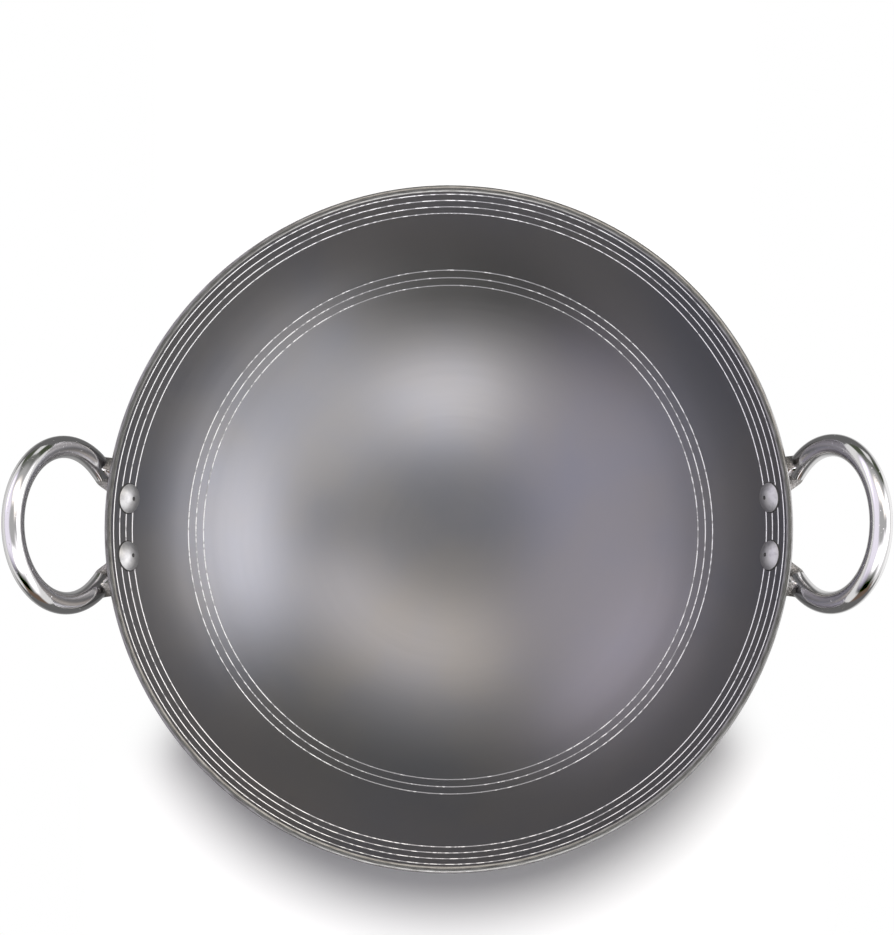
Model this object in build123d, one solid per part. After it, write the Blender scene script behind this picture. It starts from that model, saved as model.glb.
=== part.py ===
from build123d import *
from math import acos, asin, cos, degrees, radians, sin, sqrt
import os

# Kadai: a round-bottomed cooking bowl in hard anodised aluminium, with bright lines turned into
# its inner wall and two cast ring handles, each held by two rivets.
# Millimetres. +Z is up, the origin is under the middle of the base, and the handles lie along X.

# Bowl. Its wall is part of a sphere, from the edge of a small flat turned under the middle up to the rim.
rim_diameter = 280.0
bowl_height = 83.2
base_flat_diameter = 30.0
wall = 2.5
rim_edge_break = 0.3

# Turned lines. Each place is a distance down the inner wall from the rim.
line_width = 0.6
line_depth = 0.2
line_pitch = 3.9
rim_line_start = 2.1
rim_line_count = 4
wall_line_start = 45.3
wall_line_count = 3

# Rivets, square to the wall, in a row across each handle's lug
rivet_row_drop = 10.5
rivet_pitch = 24.0
shank_diameter = 5.0
shank_clearance = 0.05
head_diameter = 12.0
head_height = 3.0
head_edge = 0.7
dimple_diameter = 1.4
dimple_depth = 0.6
tail_diameter = 8.5
tail_height = 2.2
tail_edge = 0.6

# Ring of each handle. Its plane is parallel to the wall at a place a little above the rivets, and its
# foot, the lowest point of the grip's centre line, is a little below them.
ring_drop = 6.2
ring_foot_drop = 14.6
ring_gap = 1.6
ring_diameter = 63.0
grip_diameter = 9.0

# Lug: a plate in one piece with the ring's foot, cut to the wall behind. Its thickness is at the middle,
# and its margins are from the rivets' centres.
lug_thickness = 4.5
lug_side_margin = 14.0
lug_top_margin = 4.8
lug_bottom_margin = 10.6
lug_corner_radius = 7.0
lug_edge_break = 0.8
spot_clearance = 0.5
spot_depth = 0.4

# Foot of the ring: a part ring, eight-sided above the wall, that stands on the lug and a margin outside
# the grip. It reaches to a turn in degrees each way, and the grip's two ends stand in it by a further turn.
foot_turn = 62.0
foot_margin = 0.5
socket_turn = 2.0

# Gap left under each rivet head and lug, and how far cutting tools run past the faces that they cut
seat_clearance = 0.02
overrun = 1.0

rim_radius = rim_diameter / 2
flat_radius = base_flat_diameter / 2
centre_height = (rim_radius**2 + bowl_height**2 - flat_radius**2) / (2 * bowl_height)
outer_radius = sqrt(centre_height**2 + flat_radius**2)
inner_radius = outer_radius - wall
inner_rim_angle = acos((centre_height - bowl_height) / inner_radius)

rivet_offsets = (-rivet_pitch / 2, rivet_pitch / 2)
ring_radius = ring_diameter / 2
grip_radius = grip_diameter / 2

foot_radius = grip_radius + foot_margin
foot_top = ring_gap + grip_diameter + foot_margin
grip_turn = foot_turn - socket_turn

# Heights up the wall, from the place that the ring's plane is parallel to
ring_centre_rise = ring_radius - (ring_foot_drop - ring_drop)
rivet_row_rise = ring_drop - rivet_row_drop


def on_sphere(radius, angle):
    """Point of the bowl's section at a radius from the sphere's centre, and an angle from straight down."""
    return (radius * sin(angle), centre_height - radius * cos(angle))


def down_wall(distance):
    """Angle from straight down at a distance down the inner wall from the rim."""
    return inner_rim_angle - distance / inner_radius


def profile_face(*edges):
    return Plane.XZ * make_face(Curve() + list(edges))


def sphere(radius):
    """Ball about the wall's centre, with its seam away from the handle at +X."""
    return Pos(0, 0, centre_height) * Rot(0, 0, 180) * Sphere(radius)


def make_plain_bowl():
    outer_top = acos((centre_height - bowl_height + rim_edge_break) / outer_radius)
    inner_top = acos((centre_height - bowl_height + rim_edge_break) / inner_radius)
    base_edge = asin(flat_radius / outer_radius)
    centre = (0, centre_height)
    outer_wall = CenterArc(centre, outer_radius, degrees(base_edge) - 90, degrees(outer_top - base_edge))
    inner_wall = CenterArc(centre, inner_radius, -90, degrees(inner_top))
    inner_rim_radius = inner_radius * sin(inner_rim_angle)
    outer_rim = (rim_radius - rim_edge_break, bowl_height)
    inner_rim = (inner_rim_radius + rim_edge_break, bowl_height)
    section = profile_face(
        Line((0, 0), (flat_radius, 0)),
        outer_wall,
        Line(on_sphere(outer_radius, outer_top), outer_rim),
        Line(outer_rim, inner_rim),
        Line(inner_rim, on_sphere(inner_radius, inner_top)),
        inner_wall,
        Line((0, centre_height - inner_radius), (0, 0)),
    )
    return revolve(section, Axis.Z)


def line_cutter(distance):
    """Ring of V section that cuts one bright line."""
    angle = down_wall(distance)
    half_width = line_width / 2 * (line_depth + overrun) / line_depth
    spread = half_width / inner_radius
    apex = on_sphere(inner_radius + line_depth, angle)
    upper = on_sphere(inner_radius - overrun, angle + spread)
    lower = on_sphere(inner_radius - overrun, angle - spread)
    return revolve(profile_face(Line(apex, upper), Line(upper, lower), Line(lower, apex)), Axis.Z)


def line_distances():
    rim_lines = [rim_line_start + i * line_pitch for i in range(rim_line_count)]
    wall_lines = [wall_line_start + i * line_pitch for i in range(wall_line_count)]
    return rim_lines + wall_lines


def wall_place(drop):
    """Place on the outer wall at +X: x along the rim, y up the wall, z outwards and square to the wall."""
    angle = down_wall(drop)
    r, z = on_sphere(outer_radius, angle)
    return Plane(origin=(r, 0, z), x_dir=(0, 1, 0), z_dir=(sin(angle), 0, -cos(angle))).location


def rivet_place(offset):
    """Place on the outer wall where a rivet passes, at an offset along the row."""
    row_radius, _ = on_sphere(outer_radius, down_wall(rivet_row_drop))
    return Rot(0, 0, degrees(asin(offset / row_radius))) * wall_place(rivet_row_drop)


def make_lug():
    """Plate with round corners, square to z, from behind the wall's face up to the lug's thickness."""
    height = lug_top_margin + lug_bottom_margin
    middle = rivet_row_rise + (lug_top_margin - lug_bottom_margin) / 2
    outline = RectangleRounded(rivet_pitch + 2 * lug_side_margin, height, lug_corner_radius)
    plate = Pos(0, middle, -lug_thickness) * extrude(outline, 2 * lug_thickness)
    return chamfer(plate.faces().sort_by(Axis.Z)[-1].edges(), lug_edge_break)


def round_ring(section, turn):
    """Part ring about the ring's axis, which reaches to a turn each way from the middle of the foot."""
    return Pos(0, ring_centre_rise, 0) * revolve(Rot(0, 0, -90 - turn) * section, Axis.Z, 2 * turn)


def make_foot():
    bevel = foot_radius * (2 - sqrt(2))
    half_outline = [
        (0, -lug_thickness),
        (foot_radius, -lug_thickness),
        (foot_radius, foot_top - bevel),
        (foot_radius - bevel, foot_top),
        (0, foot_top),
    ]
    half = make_face(Polyline(*half_outline, close=True))
    section = Plane.XZ * Pos(ring_radius, 0) * (half + mirror(half, Plane.YZ))
    return round_ring(section, foot_turn)


def make_scoop():
    """Cutter that flattens the foot down to the lug, between hollows that run up towards the grip."""
    flat_end = (rivet_pitch / 2 + tail_diameter / 2 + spot_clearance, lug_thickness)
    arc_end = ((ring_radius - foot_radius) * sin(radians(grip_turn)), foot_top)
    half = profile_face(
        Line((0, lug_thickness), flat_end),
        TangentArc(flat_end, arc_end, tangent=(1, 0)),
        Line(arc_end, (arc_end[0], foot_top + overrun)),
        Line((arc_end[0], foot_top + overrun), (0, foot_top + overrun)),
        Line((0, foot_top + overrun), (0, lug_thickness)),
    )
    foot_reach = ring_radius + foot_radius + overrun
    return Pos(0, ring_centre_rise, 0) * extrude(half + mirror(half, Plane.YZ), foot_reach)


def make_grip():
    section = Plane.XZ * Pos(ring_radius, ring_gap + grip_radius) * Circle(grip_radius)
    grip = revolve(Rot(0, 0, -90 + grip_turn) * section, Axis.Z, 360 - 2 * grip_turn)
    return Pos(0, ring_centre_rise, 0) * grip


def make_handle():
    """Cast ring handle at +X: grip, foot and lug in one, cut to the wall and drilled for its rivets."""
    blank = wall_place(ring_drop) * (make_foot() - make_scoop() + make_lug() + make_grip())
    blank -= sphere(outer_radius + seat_clearance)
    for offset in rivet_offsets:
        spot_radius = tail_diameter / 2 + spot_clearance
        spot = Cylinder(spot_radius, grip_diameter, align=(Align.CENTER, Align.CENTER, Align.MIN))
        hole = Cylinder(shank_diameter / 2 + shank_clearance, 4 * lug_thickness)
        blank -= rivet_place(offset) * (Pos(0, 0, lug_thickness - spot_depth) * spot + hole)
    return blank


def domed(radius, edge, height):
    """Round head that stands on z = 0: a short straight edge under a dome."""
    arc_rise = height - edge
    dome_radius = (radius**2 + arc_rise**2) / (2 * arc_rise)
    half_angle = asin(radius / dome_radius) / 2
    middle = (dome_radius * sin(half_angle), height - dome_radius * (1 - cos(half_angle)))
    section = profile_face(
        Line((0, 0), (radius, 0)),
        Line((radius, 0), (radius, edge)),
        ThreePointArc((radius, edge), middle, (0, height)),
        Line((0, height), (0, 0)),
    )
    return revolve(section, Axis.Z)


def make_rivet(offset):
    """Rivet at +X: dimpled head seated on the inner wall, shank, and a tail formed on the lug."""
    head = domed(head_diameter / 2, head_edge, head_height)
    head += Pos(0, 0, -wall / 4) * Cylinder(head_diameter / 2, wall / 2)
    head -= Pos(0, 0, head_height - dimple_depth / 2) * Cone(0, dimple_diameter / 2, dimple_depth)
    shank_length = head_edge + wall + lug_thickness
    shank = Pos(0, 0, lug_thickness - shank_length / 2) * Cylinder(shank_diameter / 2, shank_length)
    tail_seat = lug_thickness - spot_depth + seat_clearance
    tail = Pos(0, 0, tail_seat) * domed(tail_diameter / 2, tail_edge, tail_height)
    place = rivet_place(offset)
    seated_head = place * Pos(0, 0, -wall) * Rot(180, 0, 0) * head
    seated_head &= sphere(inner_radius - seat_clearance)
    return seated_head + place * (shank + tail)


def half_turned(shape):
    return Rot(0, 0, 180) * shape


bowl = make_plain_bowl()
for distance in line_distances():
    bowl -= line_cutter(distance)
for offset in rivet_offsets:
    hole = rivet_place(offset) * Cylinder(shank_diameter / 2 + shank_clearance, 4 * wall)
    bowl -= hole
    bowl -= half_turned(hole)

handle = make_handle()
right_rivets = [make_rivet(offset) for offset in rivet_offsets]
nodes = {
    "bowl": bowl,
    "handle_right": handle,
    "handle_left": half_turned(handle),
    "rivets": Compound(right_rivets + [half_turned(rivet) for rivet in right_rivets]),
}

os.makedirs("parts", exist_ok=True)
for name, shape in nodes.items():
    export_step(shape, f"parts/{name}.step")
    print(name, "solids", len(shape.solids()), "volume", round(shape.volume))
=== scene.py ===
import bmesh
import bpy
from math import acos, asin, atan2, copysign, cos, degrees, hypot, pi, radians, sin, sqrt, tau
from mathutils import Matrix, Vector


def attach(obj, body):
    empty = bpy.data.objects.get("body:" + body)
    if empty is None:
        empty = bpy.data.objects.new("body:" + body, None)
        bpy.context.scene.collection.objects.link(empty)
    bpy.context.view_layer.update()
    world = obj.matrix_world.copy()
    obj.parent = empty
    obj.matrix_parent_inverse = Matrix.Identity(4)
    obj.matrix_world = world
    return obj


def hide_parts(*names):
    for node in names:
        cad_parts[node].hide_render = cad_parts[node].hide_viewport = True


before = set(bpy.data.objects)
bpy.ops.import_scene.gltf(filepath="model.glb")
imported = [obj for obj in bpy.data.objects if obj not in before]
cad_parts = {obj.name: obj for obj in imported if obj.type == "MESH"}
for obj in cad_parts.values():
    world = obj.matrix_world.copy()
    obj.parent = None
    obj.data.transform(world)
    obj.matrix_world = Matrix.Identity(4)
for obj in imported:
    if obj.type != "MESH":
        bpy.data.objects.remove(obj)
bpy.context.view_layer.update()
mm = 0.001
print("frame loaded:", sorted(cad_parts))

# The bowl's wall is part of a sphere. Sizes are in millimetres, and drops are measured down the
# inner wall from the rim.
bowlSizes = {
    "rimDiameter": 280.0,
    "height": 83.2,
    "baseFlat": 30.0,
    "wall": 2.5,
    "rimCrown": 0.34,     # rise of the middle of the rim over its edges
    "rimCorner": 0.35,    # corner of the rim that the bright cut leaves dark
    "lineWidth": 0.52,
    "lineDepth": 0.2,
    "linePitch": 3.9,
    "rimLineStart": 2.1,
    "rimLines": 4,
    "wallLineStart": 45.3,
    "wallLines": 3,
    "turns": 400,        # steps of the spin round the bowl
    "arcStep": 1.6,      # degrees of the wall in one step of its section
}
rimRadius = bowlSizes["rimDiameter"] / 2
rimHeight = bowlSizes["height"]
flatRadius = bowlSizes["baseFlat"] / 2
centreHeight = (rimRadius**2 + rimHeight**2 - flatRadius**2) / (2 * rimHeight)
outerRadius = sqrt(centreHeight**2 + flatRadius**2)
innerRadius = outerRadius - bowlSizes["wall"]
innerRimAngle = acos((centreHeight - rimHeight) / innerRadius)
wallCentre = Vector((0, 0, centreHeight))

handleSizes = {
    "ringDrop": 6.2,      # where the wall is parallel to the ring's plane
    "footDrop": 14.6,     # where the lowest point of the grip's centre line is
    "ringGap": 1.6,       # from the wall to the ring
    "ringDiameter": 63.0,
    "gripDiameter": 9.0,
    "lugThickness": 4.5,
    "lugTop": 4.8,        # margins of the lug from the rivets' centres
    "lugBottom": 10.6,
    "lugSide": 14.0,
    # degrees round the ring from the foot's middle: where its outer face starts to rise from the lug and
    # reaches the grip's, where its section starts to turn round and is round, and where the web ends
    "riseTurns": (29.0, 41.0),
    "roundTurns": (24.0, 42.0),
    "webTurn": 50.0,
    "webEdge": 4.0,
    "roughTurn": 44.0,
    "webAngle": -122.0,   # degrees round the grip's section, from outside, of the crease where the web starts
    "outlinePower": 10.0,
    "lugPower": 3.2,
    "blendPower": 30.0,
    "sectionSteps": 72,
    "ringSteps": 320,
}
rivetSizes = {
    "rowDrop": 10.5,
    "pitch": 24.0,
    "shank": 5.0,
    "head": 12.0,
    "headHeight": 3.0,
    "headEdge": 0.7,
    "seam": 0.42,         # width of the ring of painted contact shade round the head
    "dimple": 1.7,
    "dimpleDepth": 0.55,
    "tail": 8.5,
    "tailHeight": 2.2,
    "tailEdge": 0.6,
    "spot": 4.75,         # radius of the flat cast for each tail
    "spotDepth": 0.4,
    "spotBlend": 0.9,
    "turns": 72,
}
seatGap = 0.02    # left under each rivet head, tail and lug
ringRadius = handleSizes["ringDiameter"] / 2
gripRadius = handleSizes["gripDiameter"] / 2
ringRise = ringRadius - handleSizes["footDrop"] + handleSizes["ringDrop"]
rowReach = ringRise + rivetSizes["rowDrop"] - handleSizes["ringDrop"]


def onWall(radius, angle):
    return Vector((radius * sin(angle), 0, centreHeight - radius * cos(angle)))


def downWall(drop):
    return innerRimAngle - drop / innerRadius


def wallPlace(drop):
    angle = downWall(drop)
    along = Vector((0, 1, 0))
    up = Vector((cos(angle), 0, sin(angle)))
    out = Vector((sin(angle), 0, -cos(angle)))
    place = Matrix((along, up, out)).transposed().to_4x4()
    place.translation = onWall(outerRadius, angle)
    return place


def rivetPlace(offset):
    rowRadius = onWall(outerRadius, downWall(rivetSizes["rowDrop"])).x
    return Matrix.Rotation(asin(offset / rowRadius), 4, "Z") @ wallPlace(rivetSizes["rowDrop"])


def eased(share):
    share = min(max(share, 0.0), 1.0)
    return share * share * (3 - 2 * share)


class Outline:
    # a chain of edges in the XZ plane, drawn one stretch at a time and then spun about Z
    def __init__(self, bm, start):
        self.bm = bm
        self.last = bm.verts.new(start)

    def line(self, place):
        made = bmesh.ops.extrude_vert_indiv(self.bm, verts=[self.last])
        self.last = made["verts"][0]
        self.last.co = place

    def arc(self, centre, angle, steps):    # a positive angle turns clockwise, with X to the right
        made = bmesh.ops.spin(self.bm, geom=[self.last], cent=centre, axis=(0, 1, 0),
                              angle=angle, steps=steps)
        self.last = [part for part in made["geom_last"] if isinstance(part, bmesh.types.BMVert)][0]


def spun(bm, steps):
    bmesh.ops.spin(bm, geom=bm.verts[:] + bm.edges[:], cent=(0, 0, 0), axis=(0, 0, 1),
                   angle=tau, steps=steps, use_merge=True)
    bmesh.ops.remove_doubles(bm, verts=bm.verts, dist=1e-4)
    bmesh.ops.recalc_face_normals(bm, faces=bm.faces)


def finished(bm, name, finishes, nodes, sharpAngle=32):
    for face in bm.faces:
        face.smooth = True
    for edge in bm.edges:
        edge.smooth = edge.calc_face_angle(0) < radians(sharpAngle)
    bmesh.ops.scale(bm, vec=(mm, mm, mm), verts=bm.verts)
    mesh = bpy.data.meshes.new(name)
    bm.to_mesh(mesh)
    bm.free()
    for finish in finishes:
        mesh.materials.append(finish)
    piece = bpy.data.objects.new(name, mesh)
    bpy.context.scene.collection.objects.link(piece)
    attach(piece, "root")
    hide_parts(*nodes)
    print("made", name, "with", len(mesh.polygons), "faces")
    return piece


class Wire:
    # an output socket that sums like a number
    def __init__(self, recipe, socket):
        self.recipe = recipe
        self.socket = socket

    def maths(self, operation, first, second):
        return self.recipe.add("Math", {"operation": operation}, {0: first, 1: second})

    def __add__(self, other):
        return self.maths("ADD", self, other)

    def __sub__(self, other):
        return self.maths("SUBTRACT", self, other)

    def __rsub__(self, other):
        return self.maths("SUBTRACT", other, self)

    def __mul__(self, other):
        return self.maths("MULTIPLY", self, other)

    def __truediv__(self, other):
        return self.maths("DIVIDE", self, other)

    def __abs__(self):
        return self.maths("ABSOLUTE", self, 0.0)

    __radd__ = __add__
    __rmul__ = __mul__


class Recipe:
    # the nodes of one finish
    def __init__(self, tree):
        self.tree = tree
        tree.nodes.clear()

    def add(self, kind, settings, sockets, output=0):
        node = self.tree.nodes.new("ShaderNode" + kind)
        for name, value in settings.items():
            setattr(node, name, value)
        for name, value in sockets.items():
            if isinstance(value, Wire):
                self.tree.links.new(value.socket, node.inputs[name])
            else:
                node.inputs[name].default_value = value
        return Wire(self, node.outputs[output]) if node.outputs else None

    def place(self):
        return self.add("TexCoord", {}, {}, "Object")

    def split(self, vector):
        return [self.add("SeparateXYZ", {}, {0: vector}, axis) for axis in "XYZ"]

    def joined(self, x, y, z):
        return self.add("CombineXYZ", {}, {0: x, 1: y, 2: z})

    def length(self, vector):
        return self.add("VectorMath", {"operation": "LENGTH"}, {0: vector}, 1)

    def noise(self, vector, scale, detail=2.0):
        return self.add("TexNoise", {}, {"Vector": vector, "Scale": scale, "Detail": detail})

    def smooth(self, value, low, high):
        return self.add("MapRange", {"interpolation_type": "SMOOTHSTEP"},
                        {"Value": value, "From Min": low, "From Max": high})

    def mixed(self, share, first, second):
        return self.add("Mix", {"data_type": "RGBA"}, {0: share, 6: first, 7: second}, 2)

    def bump(self, height, depth, strength=1.0):
        return self.add("Bump", {}, {"Height": height, "Distance": depth, "Strength": strength})

    def surface(self, **sockets):
        named = {name.replace("_", " "): value for name, value in sockets.items()}
        shader = self.add("BsdfPrincipled", {}, named)
        self.add("OutputMaterial", {}, {"Surface": shader})


def newFinish(name):
    finish = bpy.data.materials.new(name)
    finish.use_nodes = True
    return finish, Recipe(finish.node_tree)


def makeAnodised():
    look = {
        "colour": (0.262, 0.262, 0.270, 1.0),
        "warmCloud": (0.280, 0.272, 0.266, 1.0),
        "coolCloud": (0.250, 0.254, 0.276, 1.0),
        "roughness": 0.34,
        "cloudScale": 14.0,
        "turningPitch": 2.1,    # millimetres between the traces of turning
        "turningDrift": 0.4,    # how soon they change on the way round
        "grainScale": 2600.0,
    }
    finish, recipe = newFinish("hardAnodised")
    place = recipe.place()
    x, y, z = recipe.split(place)
    reach = recipe.length(recipe.joined(x, y, 0.0))
    clouds = recipe.noise(place, look["cloudScale"], 3.0)
    tint = recipe.mixed(recipe.smooth(clouds, 0.35, 0.65), look["coolCloud"], look["warmCloud"])
    colour = recipe.mixed(recipe.noise(place, 300.0, 3.0) * 0.5, tint, look["colour"])
    drift = look["turningDrift"]
    upWall = (reach + z) * (1 / (look["turningPitch"] * mm))
    traces = recipe.joined(x / reach * drift, y / reach * drift, upWall)
    turned = recipe.noise(traces, 2.0)
    grain = recipe.noise(place, look["grainScale"])
    rough = look["roughness"] + (clouds - 0.5) * 0.10 + (turned - 0.5) * 0.06
    relief = recipe.bump(turned * 0.6 + grain * 0.4, 0.00003, 0.5)
    recipe.surface(Base_Color=colour, Metallic=1.0, Roughness=rough, Normal=relief)
    return finish


def makeBrightCut():
    look = {
        "colour": (0.90, 0.90, 0.90, 1.0),
        "dull": (0.40, 0.40, 0.41, 1.0),
        "faintFrom": (0.1015, 0.1025),   # metres from the axis between which the lines are dimmer
        "faintTo": (0.109, 0.112),
        "faint": 0.10,
        "metallic": 0.65,
        "roughness": 0.42,
    }
    finish, recipe = newFinish("brightCut")
    place = recipe.place()
    x, y, z = recipe.split(place)
    reach = recipe.length(recipe.joined(x, y, 0.0))
    patches = recipe.noise(place, 420.0, 3.0)
    ends = recipe.smooth(abs(y) / reach, 0.75, 1.0)
    faint = recipe.smooth(reach, *look["faintFrom"]) * (1 - recipe.smooth(reach, *look["faintTo"]))
    # the lines turn duller in patches, more towards the ±Y ends and on the wall lines between faintFrom and
    # faintTo
    dulled = recipe.smooth(patches + ends * 0.14 + faint * look["faint"], 0.56, 0.70)
    colour = recipe.mixed(dulled, look["colour"], look["dull"])
    rough = look["roughness"] + (patches - 0.5) * 0.3
    recipe.surface(Base_Color=colour, Metallic=look["metallic"], Roughness=rough)
    return finish


def makeTurnedRim():
    look = {
        "colour": (0.35, 0.35, 0.34, 1.0),
        "dark": (0.15, 0.145, 0.135, 1.0),
        "roughness": 0.22,
        "streakDrift": 9.0,
        "streakScale": 2200.0,
    }
    finish, recipe = newFinish("turnedRim")
    place = recipe.place()
    x, y, z = recipe.split(place)
    reach = recipe.length(recipe.joined(x, y, 0.0))
    drift = look["streakDrift"]
    around = recipe.joined(x / reach * drift, y / reach * drift, reach * look["streakScale"])
    streaks = recipe.noise(around, 3.0, 3.0)
    colour = recipe.mixed(recipe.smooth(streaks, 0.35, 0.65), look["dark"], look["colour"])
    rough = look["roughness"] + (streaks - 0.5) * 0.1
    relief = recipe.bump(streaks, 0.00005, 0.4)
    recipe.surface(Base_Color=colour, Metallic=1.0, Roughness=rough, Normal=relief)
    return finish


def makePolished():
    look = {
        "colour": (0.80, 0.79, 0.79, 1.0),
        "roughness": 0.06,
    }
    finish, recipe = newFinish("polishedCasting")
    place = recipe.place()
    ripple = recipe.noise(place, 60.0, 2.0)
    pits = recipe.smooth(recipe.noise(place, 700.0, 2.0), 0.70, 0.78)
    haze = recipe.noise(place, 160.0, 4.0)
    rough = look["roughness"] + haze * 0.08 + pits * 0.25
    smoothed = recipe.bump(ripple, 0.0006, 0.3)
    relief = recipe.add("Bump", {}, {
        "Height": 1 - pits,
        "Distance": 0.0002,
        "Strength": 0.7,
        "Normal": smoothed,
    })
    recipe.surface(Base_Color=look["colour"], Metallic=1.0, Roughness=rough, Normal=relief)
    return finish


def makeRawCasting():
    look = {
        "colour": (0.54, 0.52, 0.50, 1.0),
        "dark": (0.24, 0.23, 0.22, 1.0),
        "roughness": 0.45,
    }
    finish, recipe = newFinish("rawCasting")
    place = recipe.place()
    grain = recipe.noise(place, 2200.0, 3.0)
    colour = recipe.mixed(recipe.smooth(grain, 0.40, 0.62), look["dark"], look["colour"])
    relief = recipe.bump(grain, 0.0003, 0.8)
    recipe.surface(Base_Color=colour, Metallic=1.0, Roughness=look["roughness"], Normal=relief)
    return finish


def makeRivetSkin():
    look = {
        "colour": (0.62, 0.62, 0.61, 1.0),
        "shade": (0.50, 0.50, 0.50, 1.0),
        "roughness": 0.46,
    }
    finish, recipe = newFinish("satinAluminium")
    place = recipe.place()
    patches = recipe.noise(place, 500.0, 4.0)
    colour = recipe.mixed(recipe.smooth(patches, 0.4, 0.75), look["colour"], look["shade"])
    rough = look["roughness"] + (patches - 0.5) * 0.1
    relief = recipe.bump(recipe.noise(place, 1500.0, 3.0), 0.00008, 0.3)
    recipe.surface(Base_Color=colour, Metallic=1.0, Roughness=rough, Normal=relief)
    return finish


# a near-black finish that paints contact shade: in the dimple, on the side of the head and in a flat ring on
# the wall round it
def makeContactShade():
    look = {
        "colour": (0.035, 0.034, 0.033, 1.0),
        "roughness": 0.6,
    }
    finish, recipe = newFinish("paintedContactShade")
    recipe.surface(Base_Color=look["colour"], Roughness=look["roughness"])
    return finish


def makeBowl(anodised, brightCut, turnedRim):
    sizes = bowlSizes
    bm = bmesh.new()
    outline = Outline(bm, onWall(innerRadius, 0))
    drops = [sizes["wallLineStart"] + i * sizes["linePitch"] for i in range(sizes["wallLines"])]
    drops += [sizes["rimLineStart"] + i * sizes["linePitch"] for i in range(sizes["rimLines"])]
    lines = sorted(downWall(drop) for drop in drops)
    halfLine = sizes["lineWidth"] / 2 / innerRadius

    def wallTo(start, end):
        outline.arc(wallCentre, start - end, max(2, round(degrees(end - start) / sizes["arcStep"])))

    reached = 0
    for line in lines:
        wallTo(reached, line - halfLine)
        outline.line(onWall(innerRadius + sizes["lineDepth"], line))
        outline.line(onWall(innerRadius, line + halfLine))
        reached = line + halfLine

    corner, crown = sizes["rimCorner"], sizes["rimCrown"]
    edgeHeight = rimHeight - crown
    innerTop = acos((centreHeight - edgeHeight) / innerRadius)
    outerTop = acos((centreHeight - edgeHeight + corner) / outerRadius)
    wallTo(reached, innerTop)
    innerEdge = onWall(innerRadius, innerTop)
    outerEdge = Vector((onWall(outerRadius, outerTop).x - corner * 0.4, 0, edgeHeight))
    halfRim = (outerEdge.x - innerEdge.x) / 2
    bulge = (halfRim**2 + crown**2) / (2 * crown)
    outline.arc(Vector((innerEdge.x + halfRim, 0, rimHeight - bulge)), 2 * asin(halfRim / bulge), 10)
    outline.line(onWall(outerRadius, outerTop))
    baseEdge = asin(flatRadius / outerRadius)
    outline.arc(wallCentre, outerTop - baseEdge, round(degrees(outerTop - baseEdge) / sizes["arcStep"]))
    outline.line((flatRadius * 0.5, 0, 0))
    outline.line((0, 0, 0))
    outline.line(onWall(innerRadius, 0))
    spun(bm, sizes["turns"])

    for face in bm.faces:
        middle = face.calc_center_median()
        angle = atan2(hypot(middle.x, middle.y), centreHeight - middle.z)
        fromCentre = (middle - wallCentre).length
        nearLine = any(abs(angle - line) < halfLine for line in lines)
        inLine = nearLine and fromCentre < innerRadius + sizes["lineDepth"]
        onRim = middle.z > edgeHeight and fromCentre > innerRadius
        face.material_index = 1 if inLine else 2 if onRim else 0
    return finished(bm, "bowl_body", [anodised, brightCut, turnedRim], ["bowl"])


def footSection(turn):
    # reach of the foot's edges from the ring's centre, and its lowest and highest faces above the wall
    sizes = handleSizes
    across, along = sin(turn), cos(turn)
    stages = (sizes["riseTurns"], sizes["roundTurns"])
    rising, rounding = [eased((degrees(turn) - low) / (high - low)) for low, high in stages]
    outer, inner = ringRadius + gripRadius, ringRadius - gripRadius
    if along > 0:
        power = sizes["outlinePower"]
        lugReach, lugHalfWidth = rowReach + sizes["lugBottom"], rivetSizes["pitch"] / 2 + sizes["lugSide"]
        lugOuter = ((along / lugReach)**power + (across / lugHalfWidth)**power)**(-1 / power)
        power = sizes["blendPower"]
        outer = (outer**power + lugOuter**power)**(1 / power)
        inner = (inner**-power + ((rowReach - sizes["lugTop"]) / along)**-power)**(-1 / power)
    middle = (outer + inner) / 2
    sag = outerRadius - sqrt(outerRadius**2 - (middle * across)**2 - (ringRise - middle * along)**2)
    top = sizes["lugThickness"] + (sizes["ringGap"] + sizes["gripDiameter"] - sizes["lugThickness"]) * rising
    bottom = -sizes["lugThickness"] - sag
    bottom += (sizes["ringGap"] - bottom) * rounding
    return outer, inner, top, bottom, sizes["lugPower"] + (2 - sizes["lugPower"]) * rounding


def onRing(co):
    # turn round the ring from the foot, and angle round the grip's section
    reach = hypot(co.x, ringRise - co.y)
    angle = atan2(co.z - handleSizes["ringGap"] - gripRadius, reach - ringRadius)
    return atan2(abs(co.x), ringRise - co.y), angle


def webShare(turn, angle):
    # how far a place on the plain ring belongs to the rough web behind it
    sizes = handleSizes
    ending = 1 - eased((degrees(turn) - sizes["webTurn"]) / sizes["webEdge"])
    return ending if radians(sizes["webAngle"]) < angle < 0.01 else 0.0


def shapedPlace(co):
    # moves a point of the plain ring to its place on the casting
    turn, angle = onRing(co)
    outer, inner, top, bottom, power = footSection(turn)
    across, up = cos(angle), sin(angle)
    reach = (outer + inner) / 2 + copysign(abs(across)**(2 / power), across) * (outer - inner) / 2
    rise = (top + bottom) / 2 + copysign(abs(up)**(2 / power), up) * (top - bottom) / 2
    x, y = copysign(sin(turn), co.x) * reach, ringRise - cos(turn) * reach
    sag = outerRadius - sqrt(outerRadius**2 - x * x - y * y)
    rise += (min(rise, -sag) - rise) * webShare(turn, angle)
    return Vector((x, y, rise))


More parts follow.
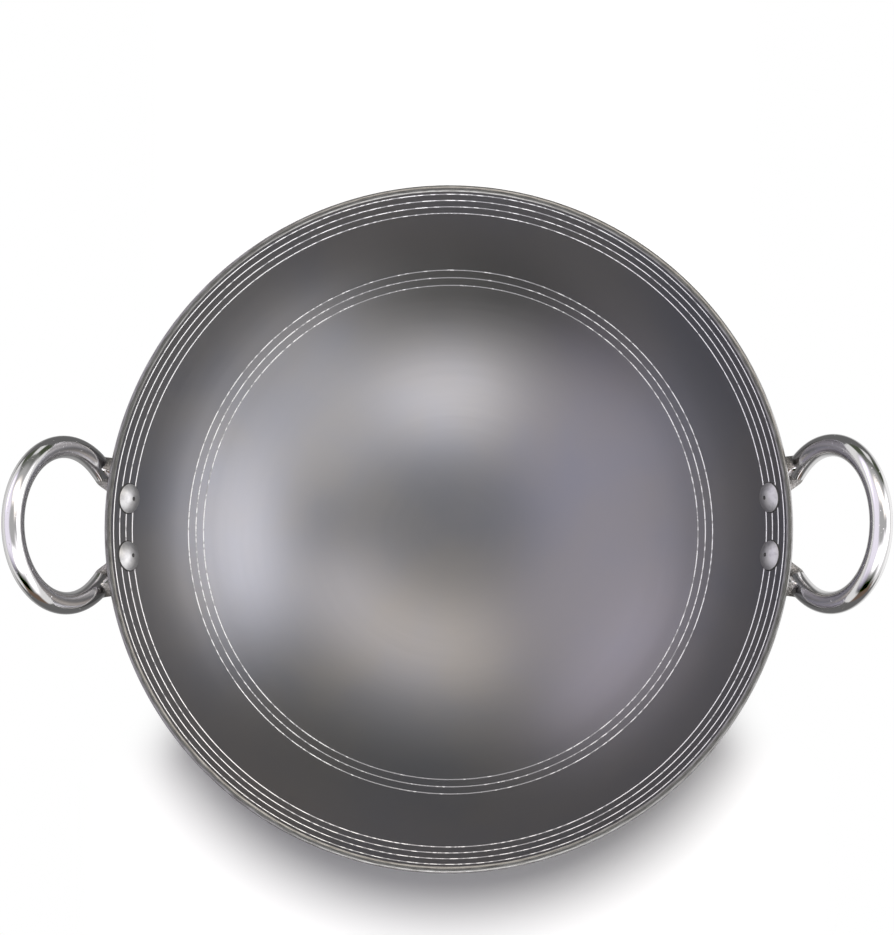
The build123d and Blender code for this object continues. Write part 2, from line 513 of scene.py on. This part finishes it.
def castHandle():
    # the casting at +X, as a round ring whose points then move to the foot's shape and to the wall
    sizes = handleSizes
    bm = bmesh.new()
    tube = Matrix.Translation((ringRadius, ringRise, sizes["ringGap"] + gripRadius))
    upright = tube @ Matrix.Rotation(pi / 2, 4, "X")
    bmesh.ops.create_circle(bm, segments=sizes["sectionSteps"], radius=gripRadius, matrix=upright)
    bmesh.ops.spin(bm, geom=bm.verts[:] + bm.edges[:], cent=(0, ringRise, 0), axis=(0, 0, 1),
                   angle=tau, steps=sizes["ringSteps"], use_merge=True)
    bmesh.ops.remove_doubles(bm, verts=bm.verts, dist=1e-4)
    bmesh.ops.recalc_face_normals(bm, faces=bm.faces)
    place = wallPlace(sizes["ringDrop"])
    rivets = [rivetPlace(offset) for offset in (-rivetSizes["pitch"] / 2, rivetSizes["pitch"] / 2)]
    rivets = [(rivet, rivet.inverted()) for rivet in rivets]
    spotHeight = sizes["lugThickness"] - rivetSizes["spotDepth"]
    for face in bm.faces:
        turn, angle = onRing(face.calc_center_median())
        nearLug = degrees(turn) < sizes["roughTurn"] and not 0.3 < angle < 2.7
        face.material_index = 1 if nearLug or webShare(turn, angle) > 0.02 else 0
    for vert in bm.verts:
        co = place @ shapedPlace(vert.co)
        for rivet, back in rivets:
            local = back @ co
            if local.z > spotHeight:
                away = eased((hypot(local.x, local.y) - rivetSizes["spot"]) / rivetSizes["spotBlend"])
                local.z = spotHeight + (local.z - spotHeight) * away
                co = rivet @ local
        fromCentre = co - wallCentre
        if fromCentre.length < outerRadius + seatGap:
            co = wallCentre + fromCentre.normalized() * (outerRadius + seatGap)
        vert.co = co
    return bm


def rivetOutline(bm):
    sizes = rivetSizes
    wall, lug = bowlSizes["wall"], handleSizes["lugThickness"]
    dimple, depth = sizes["dimple"] / 2, sizes["dimpleDepth"]
    tip = -wall - sizes["headHeight"]
    outline = Outline(bm, (0, 0, tip + depth))
    outline.line((dimple * 0.55, 0, tip + depth * 0.75))
    outline.line((dimple, 0, tip + 0.03))
    headRadius = sizes["head"] / 2
    rise = sizes["headHeight"] - sizes["headEdge"]
    bulge = (headRadius**2 + rise**2) / (2 * rise)
    centre = Vector((0, 0, tip + bulge))
    start = asin(dimple / bulge)
    outline.last.co = centre + Vector((sin(start), 0, -cos(start))) * bulge
    outline.arc(centre, start - asin(headRadius / bulge), 10)
    edge = outline.last.co.copy()
    outline.line(edge + Vector((0.05, 0, 0.25)))
    outline.line((headRadius, 0, -wall - 0.33))
    # a flat ring lying on the wall round the head, which carries painted contact shade
    outline.line((headRadius + sizes["seam"], 0, -wall + 0.15))
    outline.line((sizes["shank"] / 2, 0, -wall + 0.15))
    seat = lug - sizes["spotDepth"] + seatGap
    outline.line((sizes["shank"] / 2, 0, seat))
    tailRadius = sizes["tail"] / 2
    outline.line((tailRadius, 0, seat))
    outline.line((tailRadius + 0.05, 0, seat + sizes["tailEdge"] * 0.6))
    outline.line((tailRadius, 0, seat + sizes["tailEdge"]))
    rise = sizes["tailHeight"] - sizes["tailEdge"]
    bulge = (tailRadius**2 + rise**2) / (2 * rise)
    top = Vector((0, 0, seat + sizes["tailHeight"] - bulge))
    outline.arc(top, -asin(tailRadius / bulge), 8)


def makeRivet(name, offset, halfTurn, skin, seam):
    bm = bmesh.new()
    rivetOutline(bm)
    spun(bm, rivetSizes["turns"])
    tip = -bowlSizes["wall"] - rivetSizes["headHeight"]
    for face in bm.faces:
        middle = face.calc_center_median()
        nearAxis = hypot(middle.x, middle.y) < rivetSizes["dimple"] / 2
        inDimple = nearAxis and middle.z < tip + rivetSizes["dimpleDepth"] + 0.05
        onSide = -bowlSizes["wall"] - rivetSizes["headEdge"] < middle.z < -bowlSizes["wall"] + 0.2
        # the dimple and the head's side, with the ring round it, take the painted shade
        face.material_index = 1 if inDimple or onSide else 0
    place = Matrix.Rotation(halfTurn, 4, "Z") @ rivetPlace(offset)
    bmesh.ops.transform(bm, matrix=place, verts=bm.verts)
    back = place.inverted()
    seat = innerRadius - seatGap
    for vert in bm.verts:
        fromCentre = vert.co - wallCentre
        onShank = hypot(*(back @ vert.co).xy) < rivetSizes["shank"] / 2 + 0.1
        if seat < fromCentre.length < innerRadius + 0.6 and not onShank:
            vert.co = wallCentre + fromCentre.normalized() * seat
    return finished(bm, name, [skin, seam], ["rivets"])


anodised = makeAnodised()
brightCut = makeBrightCut()
turnedRim = makeTurnedRim()
polished = makePolished()
rawCasting = makeRawCasting()
skin = makeRivetSkin()
seam = makeContactShade()
print("finishes made")

makeBowl(anodised, brightCut, turnedRim)
casting = castHandle()
for side, halfTurn in {"right": 0, "left": pi}.items():
    bm = casting.copy()
    bmesh.ops.rotate(bm, verts=bm.verts, cent=(0, 0, 0), matrix=Matrix.Rotation(halfTurn, 3, "Z"))
    finished(bm, f"{side}_ring_handle", [polished, rawCasting], [f"handle_{side}"],
             sharpAngle=50)
    for end, offset in {"front": -rivetSizes["pitch"] / 2, "back": rivetSizes["pitch"] / 2}.items():
        sign = 1 if side == "right" else -1
        makeRivet(f"{side}_{end}_rivet", offset * sign, halfTurn, skin, seam)
casting.free()


def makeFloor():
    look = {
        "radius": 0.65,
        "colour": (0.92, 0.92, 0.92, 1.0),
        "depth": 0.0002,                 # below the base, so that the two don't touch
        "shadowWidth": (0.12, 0.165),    # beside this the floor is seen white, and sooner beside the rings
        "ringSide": 0.03,
        "mirrored": 0.15,                # how bright polished metal shows the floor, more at the sides
        "mirroredSides": 0.22,
        "mirroredRight": 0.40,
        "mirroredFar": 0.33,
    }
    bm = bmesh.new()
    lowered = Matrix.Translation((0, 0, -look["depth"]))
    bmesh.ops.create_circle(bm, cap_ends=True, segments=96, radius=look["radius"], matrix=lowered)
    mesh = bpy.data.meshes.new("floor")
    bm.to_mesh(mesh)
    bm.free()
    floor = bpy.data.objects.new("floor", mesh)
    bpy.context.scene.collection.objects.link(floor)
    finish, recipe = newFinish("paleFloor")
    mesh.materials.append(finish)
    seen = recipe.add("LightPath", {}, {}, "Is Camera Ray")
    mirrored = recipe.add("LightPath", {}, {}, "Is Glossy Ray")
    place = recipe.place()
    x, y, z = recipe.split(place)
    reach = recipe.length(place)
    byRings = recipe.smooth(y, -0.11, -0.07)
    clear = recipe.smooth(abs(x) + byRings * look["ringSide"], *look["shadowWidth"])
    sides = recipe.smooth(abs(x) / reach, 0.80, 0.96) * recipe.smooth(reach, 0.10, 0.17)
    far = recipe.smooth(reach, 0.18, 0.34)
    right = recipe.smooth(x, -0.1, 0.1)
    nearSides = right * look["mirroredRight"] + look["mirroredSides"]
    level = sides * (far * look["mirroredFar"] + nearSides) + look["mirrored"]
    matt = recipe.add("BsdfDiffuse", {}, {"Color": look["colour"]})
    white = recipe.add("Emission", {}, {"Strength": seen + mirrored * level})
    top = recipe.add("MixShader", {}, {0: seen * clear + mirrored, 1: matt, 2: white})
    below = recipe.add("NewGeometry", {}, {}, "Backfacing")    # the floor doesn't hide the underside
    through = recipe.add("BsdfTransparent", {}, {})
    recipe.add("OutputMaterial", {}, {"Surface": recipe.add("MixShader", {}, {0: below, 1: top, 2: through})})


# Soft light of the studio, as patches of sky, rounded from a fit to the photograph: azimuth and
# height of the middle in degrees, half width and half height, softness of each, strength and tint.
# Azimuth 0 is along +X and 90 along +Y.
neutral, lavender, warm = (1.0, 0.98, 1.02), (1.05, 0.96, 1.22), (1.10, 1.0, 0.92)
studioLight = {
    "base": 0.48,
    "patches": [
        (5, 20, 22, 18, 16, 8, 2.7, neutral),
        (270, 50, 26, 12, 16, 8, 2.5, neutral),
        (65, 54, 50, 12, 14, 8, 1.4, warm),
        (80, 4, 38, 20, 12, 8, -0.3, neutral),
        (250, 6, 34, 22, 12, 8, -0.5, neutral),
        (180, 38, 56, 26, 14, 8, 0.5, lavender),
        (140, 20, 24, 8, 10, 8, 0.6, lavender),
        (320, 30, 22, 30, 12, 10, 1.0, neutral),
    ],
    # the pale surroundings at the horizon, with dark screens that edge the polished rings
    "horizon": 0.85,
    "horizonTop": (5.0, 11.0),
    "screens": [
        (50, 16, 4, 0.92, neutral),
        (102, 16, 4, 0.90, neutral),
        (272, 26, 6, 0.86, (0.93, 1.0, 1.04)),
    ],
    "mattShare": 0.25,    # how much of this light reaches matt surfaces, which the key lamp lights
}


def makeWorld():
    world = bpy.data.worlds.new("studio")
    bpy.context.scene.world = world
    world.use_nodes = True
    recipe = Recipe(world.node_tree)
    x, y, z = recipe.split(recipe.add("TexCoord", {}, {}, "Generated"))
    height = recipe.add("Math", {"operation": "ARCSINE"}, {0: z}) * degrees(1)

    def across(azimuth, halfWidth, soft):
        c, s = cos(radians(azimuth)), sin(radians(azimuth))
        ahead, beside = x * c + y * s, y * c - x * s
        aside = recipe.add("Math", {"operation": "ARCTAN2"}, {0: beside, 1: ahead}) * degrees(1)
        return 1 - recipe.smooth(abs(aside), halfWidth - soft, halfWidth + soft)

    levels = [studioLight["base"]] * 3
    for patch in studioLight["patches"]:
        azimuth, middle, halfWidth, halfHeight, softWidth, softHeight, strength, tint = patch
        upward = 1 - recipe.smooth(abs(height - middle), halfHeight - softHeight, halfHeight + softHeight)
        share = across(azimuth, halfWidth, softWidth) * upward
        levels = [share * (strength * part) + level for level, part in zip(levels, tint)]
    low = 1 - recipe.smooth(height, *studioLight["horizonTop"])
    pale = [studioLight["horizon"]] * 3
    for azimuth, halfWidth, soft, depth, tint in studioLight["screens"]:
        screen = across(azimuth, halfWidth, soft)
        pale = [(1 - screen * (depth * part)) * level for level, part in zip(pale, tint)]
    mixedLevels = [level + (side - level) * low for level, side in zip(levels, pale)]
    colour = recipe.add("CombineColor", {}, dict(enumerate(mixedLevels)))
    matt = recipe.add("LightPath", {}, {}, "Is Diffuse Ray")
    strength = 1 - matt * (1 - studioLight["mattShare"])
    lit = recipe.add("Background", {}, {"Color": colour, "Strength": strength})
    white = recipe.add("Background", {}, {"Color": (1.0, 1.0, 1.0, 1.0)})
    seen = recipe.add("LightPath", {}, {}, "Is Camera Ray")
    both = recipe.add("MixShader", {}, {0: seen, 1: lit, 2: white})
    recipe.add("OutputWorld", {}, {"Surface": both})


def makeLamp(name, look):
    lamp = bpy.data.lights.new(name, "AREA")
    lamp.shape = "DISK"
    lamp.size = look["size"]
    lamp.energy = look["power"]
    lamp.color = look["colour"]
    holder = bpy.data.objects.new(name, lamp)
    bpy.context.scene.collection.objects.link(holder)
    target = Vector((0, 0, rimHeight * mm))
    azimuth, height = radians(look["azimuth"]), radians(look["height"])
    way = Vector((cos(azimuth) * cos(height), sin(azimuth) * cos(height), sin(height)))
    holder.location = target + way * look["distance"]
    holder.rotation_euler = way.to_track_quat("Z", "Y").to_euler()
    holder.visible_glossy = False


keyLamp = {
    "azimuth": 86,
    "height": 76.5,
    "distance": 1.6,
    "size": 0.62,
    "power": 27.0,
    "colour": (1.0, 0.99, 0.98),
}

# The photograph was taken from nearly straight above. Places are in millimetres.
cameraLook = {
    "place": (26.7, -50.0, 1083.2),
    "target": (-0.2, 23.65, 83.2),
    "lens": 95.15,
    "sensor": 36.0,
}


def makeCamera():
    camera = bpy.data.cameras.new("camera")
    camera.lens = cameraLook["lens"]
    camera.sensor_width = cameraLook["sensor"]
    camera.clip_start = 0.01
    camera.clip_end = 50.0
    holder = bpy.data.objects.new("camera", camera)
    bpy.context.scene.collection.objects.link(holder)
    place, target = Vector(cameraLook["place"]) * mm, Vector(cameraLook["target"]) * mm
    back = (place - target).normalized()
    right = Vector((0, 1, 0)).cross(back).normalized()
    up = back.cross(right)
    turned = Matrix((right, up, back)).transposed().to_4x4()
    turned.translation = place
    holder.matrix_world = turned
    bpy.context.scene.camera = holder


makeFloor()
makeWorld()
makeLamp("key", keyLamp)
makeCamera()
bpy.context.scene.view_settings.view_transform = "Standard"
print("studio made")

bpy.context.view_layer.update()
